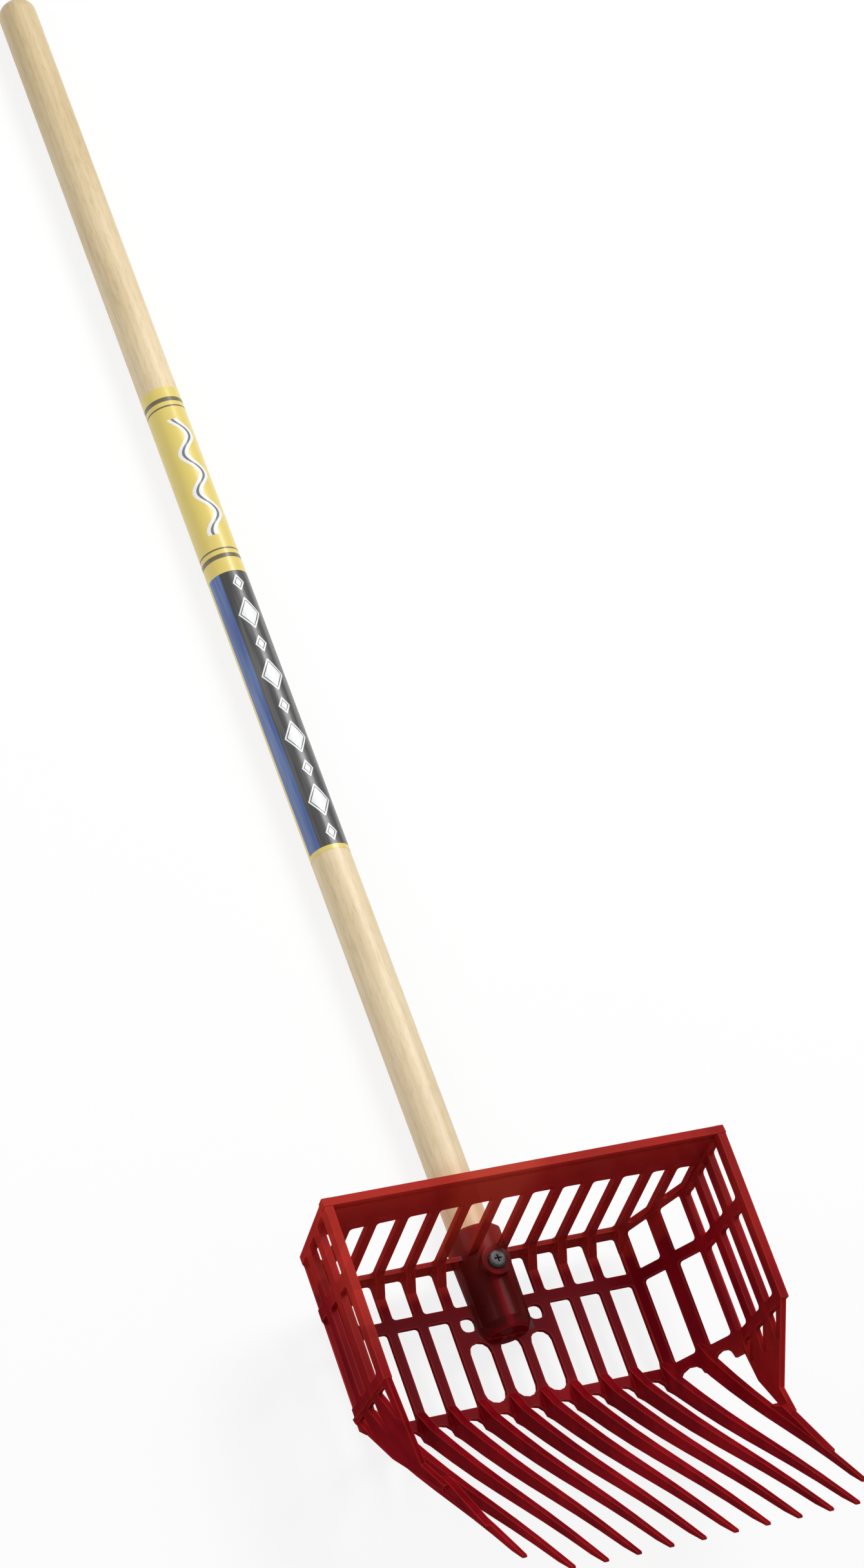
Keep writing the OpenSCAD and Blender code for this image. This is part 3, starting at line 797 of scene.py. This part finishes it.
# Stage: the floor's drop below the part, its paper, the camera's film and reach, and the lamps
FLOOR_DROP = 0.0006
PAPER = (0.9, 0.9, 0.9)
WHITE = (1, 1, 1)
FILM_MM = 36
FAR_END = 60
LAMPS = (
    Lamp("key", 1.4, (1.0, 0.7, 2.2), (0.0, -0.3, 0.0)),
    Lamp("fill", 1.2, (-1.9, -0.1, 1.4), (0.0, -0.4, 0.05)),
)


class FORK_OT_stage(bpy.types.Operator):
    """Set the camera, the floor and the lights"""

    bl_idname = "fork.stage"
    bl_label = "Stage"

    def execute(self, context):
        look = settings().stage
        bpy.ops.object.camera_add(location=look.eye, rotation=look.aim)
        camera = context.active_object
        camera.data.sensor_fit = "VERTICAL"
        camera.data.sensor_width = camera.data.sensor_height = FILM_MM
        camera.data.lens = look.lens
        camera.data.shift_x, camera.data.shift_y = look.shift
        camera.data.clip_end = FAR_END
        context.scene.camera = camera
        self.lay_floor(context, look)
        self.light(context, look)
        context.scene.view_settings.view_transform = "Standard"
        return {"FINISHED"}

    def lay_floor(self, context, look):
        """A white floor that keeps a soft shadow."""
        bpy.ops.mesh.primitive_plane_add(size=look.floor_w, location=(0, 0, -FLOOR_DROP))
        floor = context.active_object
        floor.name = "floor"
        material = bpy.data.materials.new("studio_floor")
        tree = Tree(material)
        path = tree.node("ShaderNodeLightPath").socket.node.outputs
        camera, glossy, through = (
            Value(tree, path[name])
            for name in ("Is Camera Ray", "Is Glossy Ray", "Is Transmission Ray")
        )
        seen = camera.highest(glossy).highest(through)
        paper = tree.node("ShaderNodeBsdfDiffuse", None, {"Color": PAPER})
        white = tree.node("ShaderNodeEmission", None, {"Color": WHITE, "Strength": 1.0})
        both = tree.node("ShaderNodeMixShader", None, {0: seen * look.white, 1: paper, 2: white})
        tree.finish(both)
        dress(floor, material)

    def light(self, context, look):
        """A white surrounding and two soft lamps."""
        world = bpy.data.worlds.new("studio")
        context.scene.world = world
        tree = Tree(world)
        sky = tree.node("ShaderNodeBackground", None, {"Color": WHITE, "Strength": look.sky})
        tree.finish(sky, "ShaderNodeOutputWorld")
        for plan in LAMPS:
            bpy.ops.object.light_add(type="AREA", location=plan.place)
            lamp = context.active_object
            lamp.name = plan.name
            lamp.data.energy, lamp.data.size = getattr(look, plan.name), plan.width
            ray = Vector(plan.target) - Vector(plan.place)
            lamp.rotation_euler = ray.to_track_quat("-Z", "Y").to_euler()


STEPS = (FORK_OT_head, FORK_OT_handle, FORK_OT_label, FORK_OT_screw, FORK_OT_stage)


class FORK_PT_panel(bpy.types.Panel):
    """Settings and steps of the fork"""

    bl_idname = "FORK_PT_panel"
    bl_label = "Manure fork"
    bl_space_type = "VIEW_3D"
    bl_region_type = "UI"
    bl_category = "Fork"

    def draw(self, context):
        look = context.scene.fork
        for group in (look.plastic, look.wood, look.screw, look.label, look.stage):
            box = self.layout.box()
            for key in group.__annotations__:
                box.prop(group, key)
        for step in STEPS:
            self.layout.operator(step.bl_idname)


CLASSES = (
    PlasticSettings, WoodSettings, ScrewSettings, LabelSettings, StageSettings, ForkSettings,
    *STEPS, FORK_PT_panel,
)


def register():
    for item in CLASSES:
        bpy.utils.register_class(item)
    bpy.types.Scene.fork = PointerProperty(
        type=ForkSettings, name="Fork", description="Settings of the fork"
    )


def unregister():
    del bpy.types.Scene.fork
    for item in reversed(CLASSES):
        bpy.utils.unregister_class(item)


def main():
    register()
    bpy.ops.fork.head()
    bpy.ops.fork.handle()
    bpy.ops.fork.label()
    bpy.ops.fork.screw()
    bpy.ops.fork.stage()


if __name__ == "__main__":
    main()
